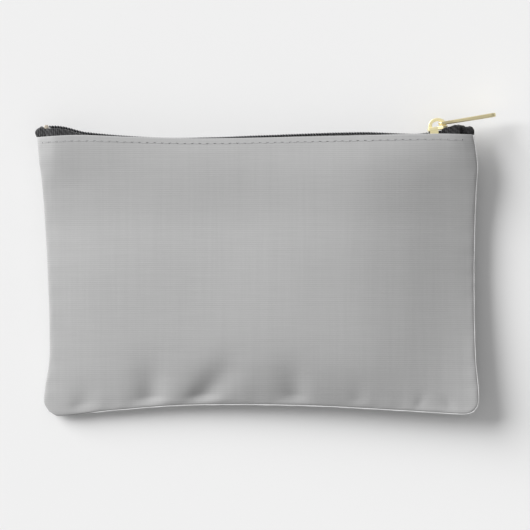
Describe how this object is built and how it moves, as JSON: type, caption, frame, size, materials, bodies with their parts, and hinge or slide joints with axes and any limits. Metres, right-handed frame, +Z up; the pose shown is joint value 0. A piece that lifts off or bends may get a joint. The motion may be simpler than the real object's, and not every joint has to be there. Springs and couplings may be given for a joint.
{
  "type": "zipped cash deposit bag",
  "caption": "Flat woven cloth cash bag lying on its back, closed along one long edge by a coil zip with a metal slider and a flat pull tab.",
  "frame": {"origin": "middle of the flat resting face of the back panel, on the table", "axes": "+X along the zip towards its closed end, +Y from the bottom seam to the zip, +Z up from the table out of the front panel"},
  "size_m": [0.2275, 0.1506, 0.0242],
  "materials": {
    "outer_cloth": "plain woven grey polyester",
    "lining_cloth": "thin dark grey coated lining",
    "zip_tape": "black woven polyester tape",
    "zip_coil": "black polyester monofilament coil",
    "coil_cord": "black spun cord",
    "stop_metal": "crimped plated metal",
    "slider_metal": "cast and brass plated",
    "pull_metal": "pale brass plated, satin",
    "thread": "grey polyester thread",
    "seam_cloth": "light grey cut edge of the seam"
  },
  "bodies": {
    "bag": {"back_panel": "outer_cloth", "back_lining": "lining_cloth", "back_zip_tape": "zip_tape", "back_zip_coil": "zip_coil", "back_coil_cord": "coil_cord", "back_topstitch": "thread", "back_top_stop": "stop_metal", "bottom_stop": "stop_metal", "left_zip_end": "zip_tape", "right_zip_end": "zip_tape", "left_side_seam": "seam_cloth", "right_side_seam": "seam_cloth", "bottom_seam": "seam_cloth"},
    "front": {"front_panel": "outer_cloth", "front_lining": "lining_cloth", "front_zip_tape": "zip_tape", "front_zip_coil": "zip_coil", "front_coil_cord": "coil_cord", "front_topstitch": "thread", "front_top_stop": "stop_metal"},
    "slider": {"slider_body": "slider_metal"},
    "pull": {"pull_tab": "pull_metal"}
  },
  "joints": [
    {"name": "slider_travel", "type": "slide", "parent": "bag", "child": "slider", "axis": [-0.9999, 0.013, 0], "range_m": [0, 0.186]},
    {"name": "mouth_open", "type": "hinge", "parent": "bag", "child": "front", "pos_m": [0, -0.0722, 0.0094], "axis": [1, 0, 0], "range_deg": [0, 12], "deforming": ["front_zip_tape", "front_zip_coil", "front_coil_cord", "back_zip_tape", "back_zip_coil", "back_coil_cord"]},
    {"name": "pull_swing", "type": "hinge", "parent": "slider", "child": "pull", "pos_m": [0.08772, 0.07265, 0.012], "axis": [0, 0, 1], "range_deg": [-3, 145]}
  ],
  "couplings": [
    {"joint": "mouth_open", "follows": "slider_travel", "rad_per_m": 1.125}
  ]
}
